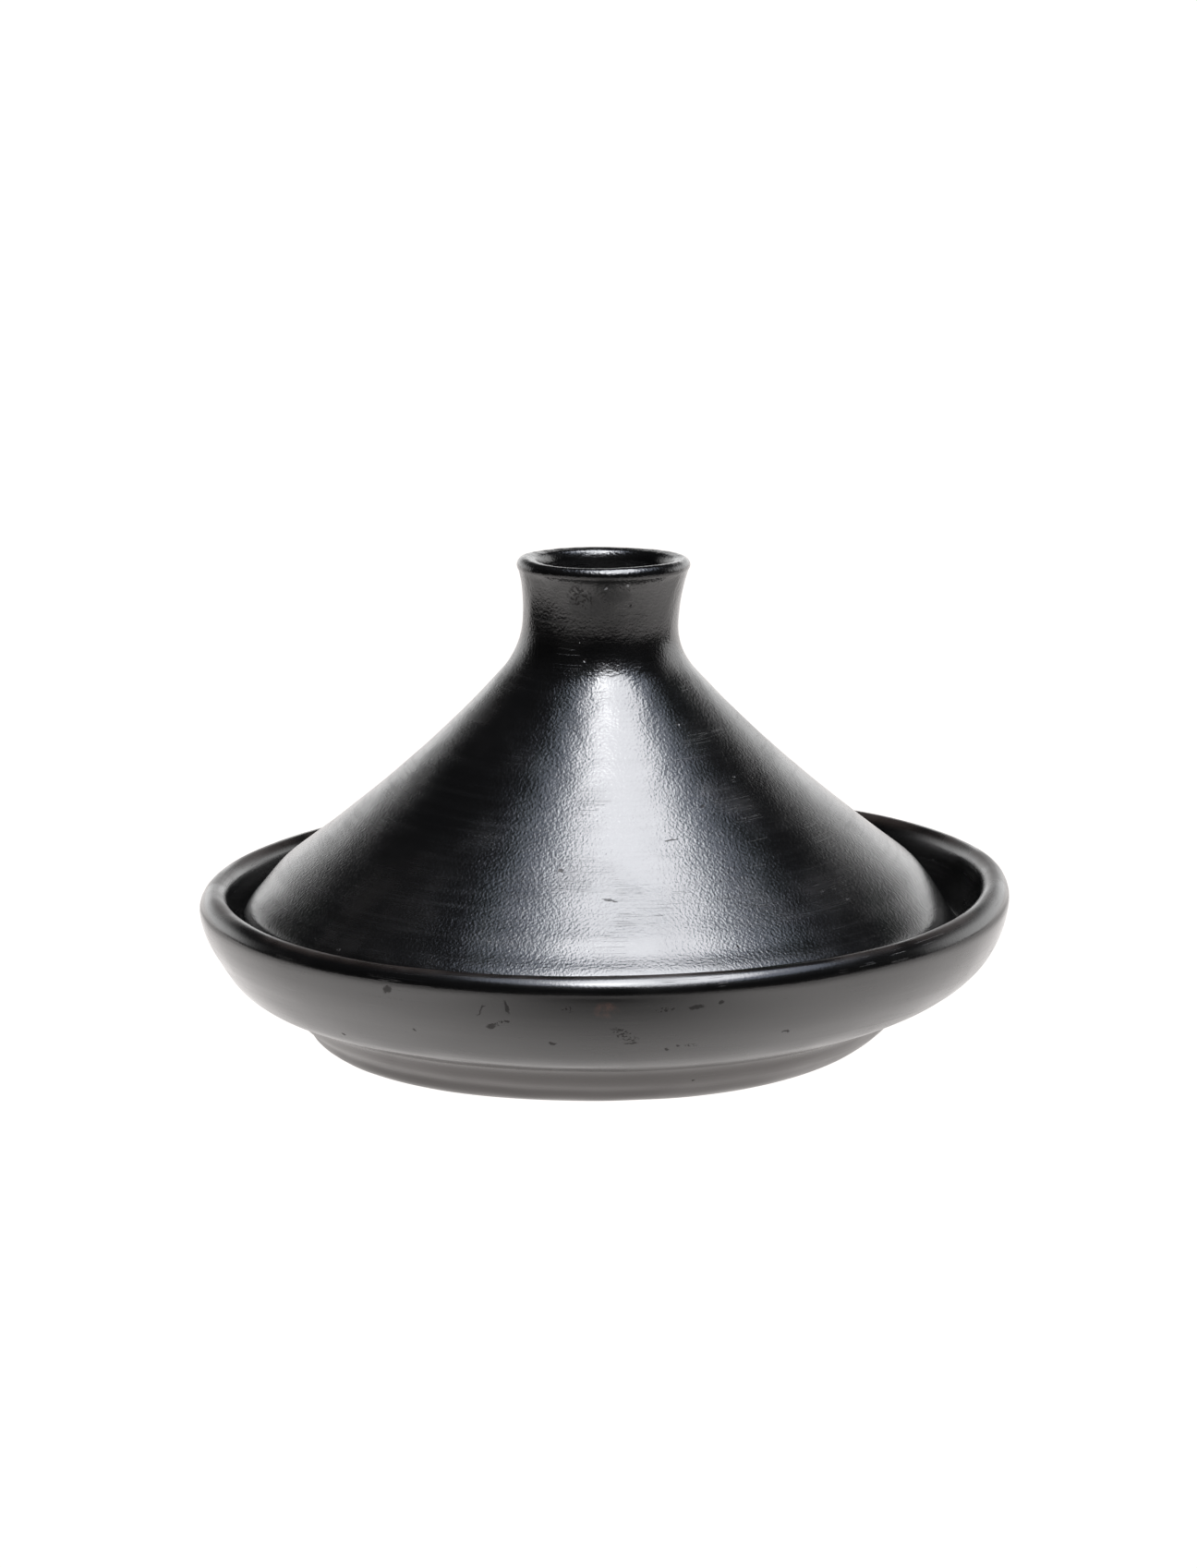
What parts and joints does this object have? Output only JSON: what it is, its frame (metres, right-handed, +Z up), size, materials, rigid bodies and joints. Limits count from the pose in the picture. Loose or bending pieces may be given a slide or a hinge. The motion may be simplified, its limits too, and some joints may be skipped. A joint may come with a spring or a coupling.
{
  "type": "tagine pot",
  "caption": "Shallow round clay cooking dish with a rounded rim and an inner ledge, and a tall cone lid that sits on the ledge and is lifted by its hollow flared neck.",
  "frame": {"origin": "middle of the dish's underside, on the plane it stands on", "axes": "+Z up along the common axis of dish and lid, which is the symmetry axis; +X and +Y are free, because both pieces are turned shapes"},
  "size_m": [0.3, 0.3, 0.182],
  "materials": {
    "burnished_clay": "burnished black, semi-gloss"
  },
  "bodies": {
    "dish": {"base_dish": "burnished_clay"},
    "lid": {"lid": "burnished_clay"}
  },
  "joints": [
    {"name": "lid_lift", "type": "slide", "parent": "dish", "child": "lid", "axis": [0, 0, 1], "range_m": [0, 0.18]}
  ]
}
